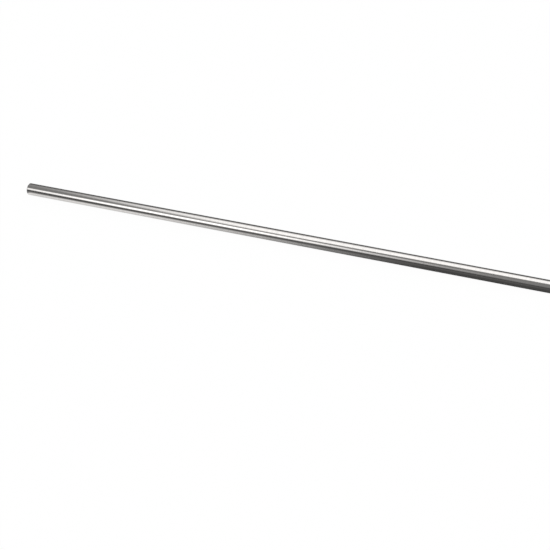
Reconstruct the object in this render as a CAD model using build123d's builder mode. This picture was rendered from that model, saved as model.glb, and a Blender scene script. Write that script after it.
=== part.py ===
from build123d import *
import os

# Idler shaft: one plain round bar of ground stainless steel with a small chamfer on both ends.
# The bar lies along X, the way it rests on a bench. The origin is on its axis, half way along it.
# Bearings, rollers or sprockets slide on over either chamfered end and run on the ground surface.

# Driving dimensions, in millimetres
shaft_diameter = 12.7  # half-inch ground bar
shaft_length = 609.6  # two feet, end face to end face
end_chamfer = 0.8  # lead-in at 45 degrees, measured along the axis and across it

shaft_radius = shaft_diameter / 2
end_plane = Plane.YZ.offset(-shaft_length / 2)  # the left end face, square to the axis

# The bar: a disc drawn on the left end face and pulled out to the full length
with BuildPart() as shaft:
    with BuildSketch(end_plane):
        Circle(shaft_radius)
    extrude(amount=shaft_length)

    # Both rims are turned back, so that a bearing starts on easily and nobody is cut
    end_rims = shaft.edges().filter_by(GeomType.CIRCLE)
    chamfer(end_rims, length=end_chamfer)

shaft.part.label = "shaft"

os.makedirs("parts", exist_ok=True)
export_step(shaft.part, "parts/shaft.step")
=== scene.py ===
import bmesh
import bpy
import math
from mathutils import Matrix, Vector


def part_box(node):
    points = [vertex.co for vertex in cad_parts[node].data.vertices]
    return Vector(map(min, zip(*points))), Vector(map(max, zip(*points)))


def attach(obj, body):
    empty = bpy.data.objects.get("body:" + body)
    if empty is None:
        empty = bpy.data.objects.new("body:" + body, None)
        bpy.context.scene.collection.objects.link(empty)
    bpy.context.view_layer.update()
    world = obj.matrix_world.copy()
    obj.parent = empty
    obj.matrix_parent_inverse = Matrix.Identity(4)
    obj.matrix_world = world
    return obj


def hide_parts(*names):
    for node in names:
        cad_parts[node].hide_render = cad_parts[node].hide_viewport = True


# Idler shaft: one ground steel bar on a white bench, with the light boxes and dark cards that it mirrors.
# Sizes are in metres, but for the bar's own values. The bar lies along X, and the bench is under it.

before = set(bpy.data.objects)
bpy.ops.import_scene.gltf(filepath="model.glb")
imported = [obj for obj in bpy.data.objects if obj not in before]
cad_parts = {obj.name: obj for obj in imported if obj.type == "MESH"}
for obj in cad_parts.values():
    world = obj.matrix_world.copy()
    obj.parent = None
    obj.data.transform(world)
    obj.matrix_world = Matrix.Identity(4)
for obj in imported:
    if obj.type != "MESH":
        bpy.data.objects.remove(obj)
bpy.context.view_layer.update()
mm = 0.001

shaftLow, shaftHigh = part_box("shaft")
shaftRadius = (shaftHigh.y - shaftLow.y) / 2
shaftLength = shaftHigh.x - shaftLow.x
benchHeight = -shaftRadius


def linearColour(hexColour):
    # sRGB hex to the linear numbers that a socket takes
    channels = [int(hexColour[i:i + 2], 16) / 255 for i in (1, 3, 5)]
    return [c / 12.92 if c <= 0.04045 else ((c + 0.055) / 1.055) ** 2.4 for c in channels] + [1.0]


def addNode(tree, kind, settings=None, values=None, links=None):
    # one node, with its settings, its fixed inputs and the outputs that feed it
    node = tree.nodes.new(kind)
    for name, value in (settings or {}).items():
        setattr(node, name, value)
    for socket, value in (values or {}).items():
        node.inputs[socket].default_value = value
    for socket, source in (links or {}).items():
        tree.links.new(source, node.inputs[socket])
    return node


def newMaterial(name):
    # an empty node tree and its output
    material = bpy.data.materials.new(name)
    material.use_nodes = True
    material.node_tree.nodes.clear()
    return material, material.node_tree, material.node_tree.nodes.new("ShaderNodeOutputMaterial")


noiseTones = (0.3, 0.7)  # most of a noise's values lie between these two

# Ground stainless steel bar: the wheel leaves fine rings round it, which pull every reflection out
# along the bar, and a faint spiral where the bar was fed through. Bearings slid on and off leave
# hairlines along it, and hands leave cloudy patches.
groundSteel = {
    "colour": "#E7E4E1",
    "smudgeColour": "#DDDBD9",
    "ringColour": "#B5B2AF",
    "ringShare": 0.3,  # how far the darkest ring goes towards its colour
    "roughness": 0.1,
    "ringRoughness": 0.07,  # how much rougher a ring is than its neighbour
    "ringPitch": 2.5 * mm,  # wide rings, seen from a metre away
    "ringLength": 30 * mm,  # how far round a ring runs before it fades
    "ringTones": (0.35, 0.75),  # of the noise: no ring below the first, the darkest at the second
    "grooveSpacing": 0.3 * mm,  # really 0.05 mm: drawn coarser, or no groove would show
    "grooveLength": 18 * mm,
    "grooveDepth": 0.009 * mm,
    "feedPitch": 6 * mm,  # along the bar for each turn of the spiral
    "feedRoughness": 0.02,
    "smudgeSize": 45 * mm,
    "smudgeRoughness": 0.04,
    "hairlineGap": 0.5 * mm,
    "hairlineLength": 40 * mm,
    "hairlineTones": (0.64, 0.7),  # only the noise's peaks
    "hairlineDepth": 0.006 * mm,
    "hairlineRoughness": 0.08,
}


def groundSteelMaterial(look):
    material, tree, output = newMaterial("ground_stainless_steel")
    place = addNode(tree, "ShaderNodeTexCoord").outputs["Object"]
    axes = addNode(tree, "ShaderNodeSeparateXYZ", links={"Vector": place})

    # rings round the bar: quick changes along X, slow ones round it
    ringPlace = addNode(tree, "ShaderNodeMapping",
                        values={"Scale": (1 / look["ringPitch"], 1 / look["ringLength"],
                                          1 / look["ringLength"])},
                        links={"Vector": place})
    ring = addNode(tree, "ShaderNodeTexNoise",
                   values={"Scale": 1.0, "Detail": 3.0, "Roughness": 0.65},
                   links={"Vector": ringPlace.outputs["Vector"]})
    ringShare = addNode(tree, "ShaderNodeMapRange",
                        values={"From Min": look["ringTones"][0], "From Max": look["ringTones"][1],
                                "To Max": look["ringShare"]},
                        links={"Value": ring.outputs["Fac"]})
    groovePlace = addNode(tree, "ShaderNodeMapping",
                          values={"Scale": (1 / look["grooveSpacing"], 1 / look["grooveLength"],
                                            1 / look["grooveLength"])},
                          links={"Vector": place})
    groove = addNode(tree, "ShaderNodeTexNoise",
                     values={"Scale": 1.0, "Detail": 2.0, "Roughness": 0.6},
                     links={"Vector": groovePlace.outputs["Vector"]})

    # the spiral: the angle round the bar plus the way along it, so that it closes on itself
    angle = addNode(tree, "ShaderNodeMath", settings={"operation": "ARCTAN2"},
                    links={0: axes.outputs["Y"], 1: axes.outputs["Z"]})
    turn = addNode(tree, "ShaderNodeMath", settings={"operation": "MULTIPLY_ADD"},
                   values={1: 2 * math.pi / look["feedPitch"]},
                   links={0: axes.outputs["X"], 2: angle.outputs["Value"]})
    feed = addNode(tree, "ShaderNodeMath", settings={"operation": "SINE"},
                   links={0: turn.outputs["Value"]})

    # cloudy patches left by handling and the polishing belt
    smudge = addNode(tree, "ShaderNodeTexNoise",
                     values={"Scale": 1 / look["smudgeSize"], "Detail": 3.0, "Roughness": 0.5},
                     links={"Vector": place})

    # hairlines along the bar, only where the noise peaks
    hairPlace = addNode(tree, "ShaderNodeMapping",
                        values={"Scale": (1 / look["hairlineLength"], 1 / look["hairlineGap"],
                                          1 / look["hairlineGap"])},
                        links={"Vector": place})
    hairNoise = addNode(tree, "ShaderNodeTexNoise",
                        values={"Scale": 1.0, "Detail": 2.0, "Roughness": 0.4},
                        links={"Vector": hairPlace.outputs["Vector"]})
    hairline = addNode(tree, "ShaderNodeMapRange",
                       values={"From Min": look["hairlineTones"][0],
                               "From Max": look["hairlineTones"][1]},
                       links={"Value": hairNoise.outputs["Fac"]})

    handled = addNode(tree, "ShaderNodeMix", settings={"data_type": "RGBA"},
                      values={6: linearColour(look["colour"]), 7: linearColour(look["smudgeColour"])},
                      links={0: smudge.outputs["Fac"]})
    colour = addNode(tree, "ShaderNodeMix", settings={"data_type": "RGBA"},
                     values={7: linearColour(look["ringColour"])},
                     links={0: ringShare.outputs["Result"], 6: handled.outputs[2]})

    roughness = addNode(tree, "ShaderNodeMapRange",
                        values={"From Min": noiseTones[0], "From Max": noiseTones[1],
                                "To Min": look["roughness"] - look["ringRoughness"] / 2,
                                "To Max": look["roughness"] + look["ringRoughness"] / 2},
                        links={"Value": ring.outputs["Fac"]}).outputs["Result"]
    for mark, share in ((smudge.outputs["Fac"], look["smudgeRoughness"]),
                        (feed.outputs["Value"], look["feedRoughness"]),
                        (hairline.outputs["Result"], look["hairlineRoughness"])):
        roughness = addNode(tree, "ShaderNodeMath", settings={"operation": "MULTIPLY_ADD"},
                            values={1: share}, links={0: mark, 2: roughness}).outputs["Value"]

    grooveBump = addNode(tree, "ShaderNodeBump",
                         values={"Strength": 1.0, "Distance": look["grooveDepth"]},
                         links={"Height": groove.outputs["Fac"]})
    hairBump = addNode(tree, "ShaderNodeBump", settings={"invert": True},
                       values={"Strength": 1.0, "Distance": look["hairlineDepth"]},
                       links={"Height": hairline.outputs["Result"],
                              "Normal": grooveBump.outputs["Normal"]})

    steel = addNode(tree, "ShaderNodeBsdfPrincipled",
                    values={"Metallic": 1.0},
                    links={"Base Color": colour.outputs[2], "Roughness": roughness,
                           "Normal": hairBump.outputs["Normal"]})
    tree.links.new(steel.outputs["BSDF"], output.inputs["Surface"])
    return material


# Turned stainless steel: the chamfers and the faced ends, with the tool's rings round the axis.
turnedSteel = {
    "colour": "#D8D6D2",
    "roughness": 0.24,
    "ringRoughness": 0.08,
    "ringPitch": 0.35 * mm,  # really 0.1 mm of feed for each turn: drawn coarser to show
    "ringHeight": 0.03 * mm,
}


def turnedSteelMaterial(look):
    material, tree, output = newMaterial("turned_stainless_steel")
    place = addNode(tree, "ShaderNodeTexCoord").outputs["Object"]
    acrossOnly = addNode(tree, "ShaderNodeVectorMath", settings={"operation": "MULTIPLY"},
                         values={1: (0.0, 1.0, 1.0)}, links={0: place})
    radius = addNode(tree, "ShaderNodeVectorMath", settings={"operation": "LENGTH"},
                     links={0: acrossOnly.outputs["Vector"]})
    ring = addNode(tree, "ShaderNodeTexNoise", settings={"noise_dimensions": "1D"},
                   values={"Scale": 1 / look["ringPitch"], "Detail": 2.0, "Roughness": 0.5},
                   links={"W": radius.outputs["Value"]})
    roughness = addNode(tree, "ShaderNodeMapRange",
                        values={"From Min": noiseTones[0], "From Max": noiseTones[1],
                                "To Min": look["roughness"] - look["ringRoughness"] / 2,
                                "To Max": look["roughness"] + look["ringRoughness"] / 2},
                        links={"Value": ring.outputs["Fac"]})
    bump = addNode(tree, "ShaderNodeBump",
                   values={"Strength": 1.0, "Distance": look["ringHeight"]},
                   links={"Height": ring.outputs["Fac"]})
    steel = addNode(tree, "ShaderNodeBsdfPrincipled",
                    values={"Metallic": 1.0, "Base Color": linearColour(look["colour"])},
                    links={"Roughness": roughness.outputs["Result"], "Normal": bump.outputs["Normal"]})
    tree.links.new(steel.outputs["BSDF"], output.inputs["Surface"])
    return material


def pick(piece, kind, test):
    # in edit mode, leaves only the faces or edges that pass the test selected
    bpy.ops.mesh.select_mode(type=kind)
    bpy.ops.mesh.select_all(action="DESELECT")
    mesh = bmesh.from_edit_mesh(piece.data)
    for part in filter(test, mesh.faces if kind == "FACE" else mesh.edges):
        part.select_set(True)
    bmesh.update_edit_mesh(piece.data)


def runsRound(edge, place):
    # an edge that runs round the bar, this far from the bar's middle, to a thousandth of a millimetre
    near, far = (vertex.co.x for vertex in edge.verts)
    return abs(near - far) < 0.001 and abs(abs(near) - place) < 0.001


def liesAcross(face, place):
    # a face whose middle is this far from the bar's, as the two that close its ends
    return abs(abs(face.calc_center_median().x) - place) < 0.001


# The bar is modelled in millimetres, because Blender's bevel is too coarse for it in metres,
# and made its real size at the end.
shaftBar = {
    "sides": 144,  # flats round the bar, too many to see
    "chamfer": 0.8,
    "edgeBreak": 0.12,  # sharp corners of the chamfer, rubbed off
    "edgeBreakSteps": 3,
    "faceRings": (0.15, 1.3, 1.3, 1.3),  # widths from the rim in, the narrow one to keep the face flat
    "crossCuts": 47,  # loops along the bar, so that its map's rows end on one
    "smoothAngle": 30,  # degrees: sharper corners than this stay sharp
}


def modelShaft(size):
    endPlace = shaftLength / 2 / mm
    chamferPlace = endPlace - size["chamfer"]
    bpy.ops.object.select_all(action="DESELECT")
    bpy.ops.mesh.primitive_cylinder_add(vertices=size["sides"], radius=shaftRadius / mm,
                                        depth=endPlace * 2, rotation=(0, math.radians(90), 0))
    bar = bpy.context.object
    bar.name = "shaft_bar"
    bpy.ops.object.transform_apply(location=True, rotation=True, scale=True)

    # both rims are chamfered, and then the two corners of each chamfer are rubbed off
    bpy.ops.object.mode_set(mode="EDIT")
    pick(bar, "EDGE", lambda edge: runsRound(edge, endPlace))
    bpy.ops.mesh.bevel(offset=size["chamfer"], offset_type="OFFSET", segments=1, affect="EDGES")
    pick(bar, "EDGE", lambda edge: runsRound(edge, endPlace) or runsRound(edge, chamferPlace))
    bpy.ops.mesh.bevel(offset=size["edgeBreak"], offset_type="OFFSET",
                       segments=size["edgeBreakSteps"], profile=0.5, affect="EDGES")

    # the faced ends: rings, closed by a fan at the centre
    pick(bar, "FACE", lambda face: liesAcross(face, endPlace))
    for width in size["faceRings"]:
        bpy.ops.mesh.inset(thickness=width, depth=0)
    bpy.ops.mesh.poke()

    # loops along the bar
    pick(bar, "EDGE", lambda edge: edge.calc_length() > endPlace)
    bpy.ops.mesh.subdivide(number_cuts=size["crossCuts"])
    bpy.ops.object.mode_set(mode="OBJECT")

    bar.scale = (mm, mm, mm)
    bpy.ops.object.transform_apply(location=True, rotation=True, scale=True)
    bpy.ops.object.shade_smooth_by_angle(angle=math.radians(size["smoothAngle"]))
    bpy.ops.object.modifier_add(type="WEIGHTED_NORMAL")
    bar.modifiers[-1].keep_sharp = True
    bpy.ops.object.modifier_apply(modifier=bar.modifiers[-1].name)

    bar.data.materials.append(groundSteelMaterial(groundSteel))
    bar.data.materials.append(turnedSteelMaterial(turnedSteel))
    for face in bar.data.polygons:
        face.material_index = int(abs(face.center.x) > chamferPlace * mm)
    return bar


# The map that the finish is baked through when the bar leaves Blender. The ground side is cut into
# rows of one length that lie one over the other, and the two ends are discs above them.
# Sizes are shares of the map.
bakeMap = {
    "name": "OFBake",
    "rows": 4,
    "rowHeight": 0.213,
    "rowGap": 0.004,
    "rowInset": 0.002,  # room at a row's two ends for the rubbed corners
    "discs": ((0.065, 0.935), (0.2, 0.935)),  # centres of the left and the right end
    "discRadius": 0.06,
}


def layOutMap(bar, layout):
    layer = bar.data.uv_layers.new(name=layout["name"])
    fullTurn = 2 * math.pi
    groundEnd = shaftLength / 2 - (shaftBar["chamfer"] + shaftBar["edgeBreak"]) * mm
    rowLength = groundEnd * 2 / layout["rows"]
    endReach = shaftRadius + shaftBar["chamfer"] * mm
    for face in bar.data.polygons:
        row = min(int((face.center.x + groundEnd) / rowLength), layout["rows"] - 1)
        faceAngle = math.atan2(face.center.y, face.center.z)
        for corner in face.loop_indices:
            x, y, z = bar.data.vertices[bar.data.loops[corner].vertex_index].co
            angle = math.atan2(y, z)
            if face.material_index:
                centre = layout["discs"][int(face.center.x > 0)]
                out = (math.hypot(y, z) + shaftLength / 2 - abs(x)) / endReach * layout["discRadius"]
                place = (centre[0] + out * math.sin(angle), centre[1] + out * math.cos(angle))
            else:
                # a corner on the seam keeps to its face
                angle += fullTurn * round((faceAngle - angle) / fullTurn)
                along = (x + groundEnd) / rowLength - row
                place = (layout["rowInset"] + (1 - 2 * layout["rowInset"]) * along,
                         row * (layout["rowHeight"] + layout["rowGap"])
                         + layout["rowHeight"] * (angle / fullTurn + 0.5))
            layer.data[corner].uv = place


bar = modelShaft(shaftBar)
layOutMap(bar, bakeMap)
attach(bar, "root")
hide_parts("shaft")
print("shaft: done,", len(bar.data.polygons), "faces")


# What only the steel sees: cards that show in reflections and nowhere else. Boxes are lights, flags
# are dark cards that stand, and mats are dark cards that lie on the bench, one just over the other.
# A card is made flat, as long and as wide as its size, and then turned about X, Y and Z in degrees.
# Its four edges fade out over these widths: left, right, near or low, far or high.
matGap = 0.1 * mm  # from each mat to the next, and from the lowest to the bench

cards = {
    # the broad bright band on the upper side
    "overheadBox": {"centre": (-0.22, 0.47, 0.9), "size": (1.25, 1.7), "turn": (0, 0, 21),
                    "strength": 1.35, "fades": (0.4, 0.03, 0.1, 1.05)},
    # the bright line along the middle, which fades out towards the right
    "frontBox": {"centre": (-0.85, -1, 0.95), "size": (2.3, 1.25), "turn": (90, 35, 0),
                 "strength": 3.35, "fades": (2.4, 0.75, 0.6, 0.9)},
    # the crisp lower edge of that line
    "frontFlag": {"centre": (0, -1.02, -0.21), "size": (6, 1.14), "turn": (90, 10, 0),
                  "strength": 0.01, "fades": (0.1, 0.1, 0.1, 0.35)},
    # the dark line along the top
    "backFlag": {"centre": (0, 1, 0.25), "size": (6, 0.35), "turn": (90, 0, 0),
                 "strength": 0.01, "fades": (0.1, 0.1, 0.01, 0.04)},
    # the dark line below the middle
    "frontMat": {"centre": (0, -0.507, benchHeight + 3 * matGap), "size": (3, 1), "turn": (0, 0, 0),
                 "strength": 0.11, "fades": (0.1, 0.1, 0.1, 0.02)},
    # the dark underside, which begins half way along
    "slantedMat": {"centre": (0.05, 0.2, benchHeight + 2 * matGap), "size": (0.6, 1.6), "turn": (0, 0, 65),
                   "strength": 0.07, "fades": (0.15, 0.01, 0.1, 0.1)},
    # painted shadow: a grey card for the bar's own soft shadow on the bench, which only the steel sees, as
    # a faint grey line near its lower edge
    "contactShadowMat": {"centre": (0, 0, benchHeight + matGap), "size": (shaftLength + 0.01, 0.02),
                   "turn": (0, 0, 0), "strength": 0.75, "fades": (0.01, 0.01, 0.004, 0.004)},
    # the dark half of the far side
    "backMat": {"centre": (0, 0.5, benchHeight + 4 * matGap), "size": (3, 1), "turn": (0, 0, 0),
                "strength": 0.17, "fades": (0.1, 0.1, 0.001, 0.1)},
    # the even grey of the two end faces
    "leftMat": {"centre": (-shaftLength / 2 - 0.3, 0, benchHeight + 5 * matGap), "size": (0.6, 3),
                "turn": (0, 0, 0), "strength": 0.2, "fades": (0.1, 0.003, 0.1, 0.1)},
    "rightMat": {"centre": (shaftLength / 2 + 0.3, 0, benchHeight + 5 * matGap), "size": (0.6, 3),
                 "turn": (0, 0, 0), "strength": 0.2, "fades": (0.003, 0.1, 0.1, 0.1)},
    # light on the bar where it is seen along its length
    "leftBox": {"centre": (-1.3, 0, 0.48), "size": (2.5, 0.8), "turn": (90, 0, 90),
                "strength": 1.1, "fades": (0.5, 0.5, 0.05, 0.35)},
    "rightBox": {"centre": (1.3, 0.2, 0.8), "size": (1.7, 1.1), "turn": (90, 0, 90),
                 "strength": 1.0, "fades": (0.5, 0.5, 0.35, 0.5)},
}


def addCard(name, card):
    bpy.ops.object.select_all(action="DESELECT")
    bpy.ops.mesh.primitive_plane_add(size=1, location=card["centre"],
                                     rotation=[math.radians(angle) for angle in card["turn"]])
    plane = bpy.context.object
    plane.name = name
    plane.scale = (*card["size"], 1)
    bpy.ops.object.transform_apply(location=False, rotation=False, scale=True)
    plane.visible_camera = False
    plane.visible_diffuse = False
    plane.visible_transmission = False
    plane.visible_shadow = False

    material, tree, output = newMaterial(name)
    place = addNode(tree, "ShaderNodeTexCoord").outputs["Object"]
    axes = addNode(tree, "ShaderNodeSeparateXYZ", links={"Vector": place})
    left, right, near, far = card["fades"]
    halfLength, halfWidth = (side / 2 for side in card["size"])
    edges = (("X", -halfLength, left), ("X", halfLength, -right),
             ("Y", -halfWidth, near), ("Y", halfWidth, -far))
    shown = None
    for axis, edge, fade in edges:
        rise = addNode(tree, "ShaderNodeMapRange", settings={"interpolation_type": "SMOOTHSTEP"},
                       values={"From Min": edge, "From Max": edge + fade},
                       links={"Value": axes.outputs[axis]}).outputs["Result"]
        if shown is not None:
            rise = addNode(tree, "ShaderNodeMath", settings={"operation": "MULTIPLY"},
                           links={0: shown, 1: rise}).outputs["Value"]
        shown = rise
    glow = addNode(tree, "ShaderNodeEmission", values={"Strength": card["strength"]})
    clear = addNode(tree, "ShaderNodeBsdfTransparent")
    mix = addNode(tree, "ShaderNodeMixShader",
                  links={0: shown, 1: clear.outputs["BSDF"], 2: glow.outputs["Emission"]})
    tree.links.new(mix.outputs["Shader"], output.inputs["Surface"])
    plane.data.materials.append(material)


for name, card in cards.items():
    addCard(name, card)
print("cards: done")


bench = {
    "size": 12.0,
    "colour": "#FCFCFB",
    "white": 1.0,  # what the camera and the steel see of it
    "shadowShare": 0.03,  # how much of what the camera sees is real light, and so takes the shadow
}


def addBench(look):
    bpy.ops.object.select_all(action="DESELECT")
    bpy.ops.mesh.primitive_plane_add(size=look["size"], location=(0, 0, benchHeight))
    plane = bpy.context.object
    plane.name = "bench"
    material, tree, output = newMaterial("white_bench")
    path = addNode(tree, "ShaderNodeLightPath")
    matt = addNode(tree, "ShaderNodeBsdfDiffuse", values={"Color": linearColour(look["colour"])})
    white = addNode(tree, "ShaderNodeEmission", values={"Strength": look["white"]})
    seen = addNode(tree, "ShaderNodeMath", settings={"operation": "MULTIPLY"},
                   values={1: 1 - look["shadowShare"]}, links={0: path.outputs["Is Camera Ray"]})
    mirrored = addNode(tree, "ShaderNodeMath", settings={"operation": "MAXIMUM"},
                       links={0: path.outputs["Is Glossy Ray"], 1: path.outputs["Is Transmission Ray"]})
    share = addNode(tree, "ShaderNodeMath", settings={"operation": "MAXIMUM"},
                    links={0: seen.outputs["Value"], 1: mirrored.outputs["Value"]})
    surface = addNode(tree, "ShaderNodeMixShader",
                      links={0: share.outputs["Value"], 1: matt.outputs["BSDF"],
                             2: white.outputs["Emission"]})
    tree.links.new(surface.outputs["Shader"], output.inputs["Surface"])
    plane.data.materials.append(material)


addBench(bench)
print("bench: done")


room = {
    "white": 1.0,  # the backdrop, and the even light on everything matt
    "mirrored": 0.24,  # what the steel sees of the room between the cards
}


def lightRoom(look):
    world = bpy.data.worlds.new("room")
    bpy.context.scene.world = world
    world.use_nodes = True
    tree = world.node_tree
    tree.nodes.clear()
    path = addNode(tree, "ShaderNodeLightPath")
    white = addNode(tree, "ShaderNodeBackground",
                    values={"Color": (1, 1, 1, 1), "Strength": look["white"]})
    mirrored = addNode(tree, "ShaderNodeBackground",
                       values={"Color": (1, 1, 1, 1), "Strength": look["mirrored"]})
    surface = addNode(tree, "ShaderNodeMixShader",
                      links={0: path.outputs["Is Glossy Ray"], 1: white.outputs["Background"],
                             2: mirrored.outputs["Background"]})
    output = addNode(tree, "ShaderNodeOutputWorld")
    tree.links.new(surface.outputs["Shader"], output.inputs["Surface"])


lightRoom(room)
print("light: done")


cameraView = {
    "azimuth": 17.507,  # degrees round from -Y towards +X
    "elevation": 38.648,  # degrees above the bench
    "distance": 1.0495,
    "aim": (-0.00912, -0.05467, benchHeight),
    "lens": 70,  # millimetres, as the sensor
    "sensor": 36,
}


def addCamera(view):
    azimuth, elevation = math.radians(view["azimuth"]), math.radians(view["elevation"])
    aim = Vector(view["aim"])
    outward = Vector((math.sin(azimuth) * math.cos(elevation), -math.cos(azimuth) * math.cos(elevation),
                      math.sin(elevation)))
    bpy.ops.object.camera_add(location=aim + outward * view["distance"])
    camera = bpy.context.object
    camera.rotation_euler = outward.to_track_quat("Z", "Y").to_euler()
    camera.data.lens = view["lens"]
    camera.data.sensor_width = view["sensor"]
    camera.data.dof.use_dof = False
    bpy.context.scene.camera = camera


addCamera(cameraView)
bpy.context.scene.view_settings.view_transform = "Standard"
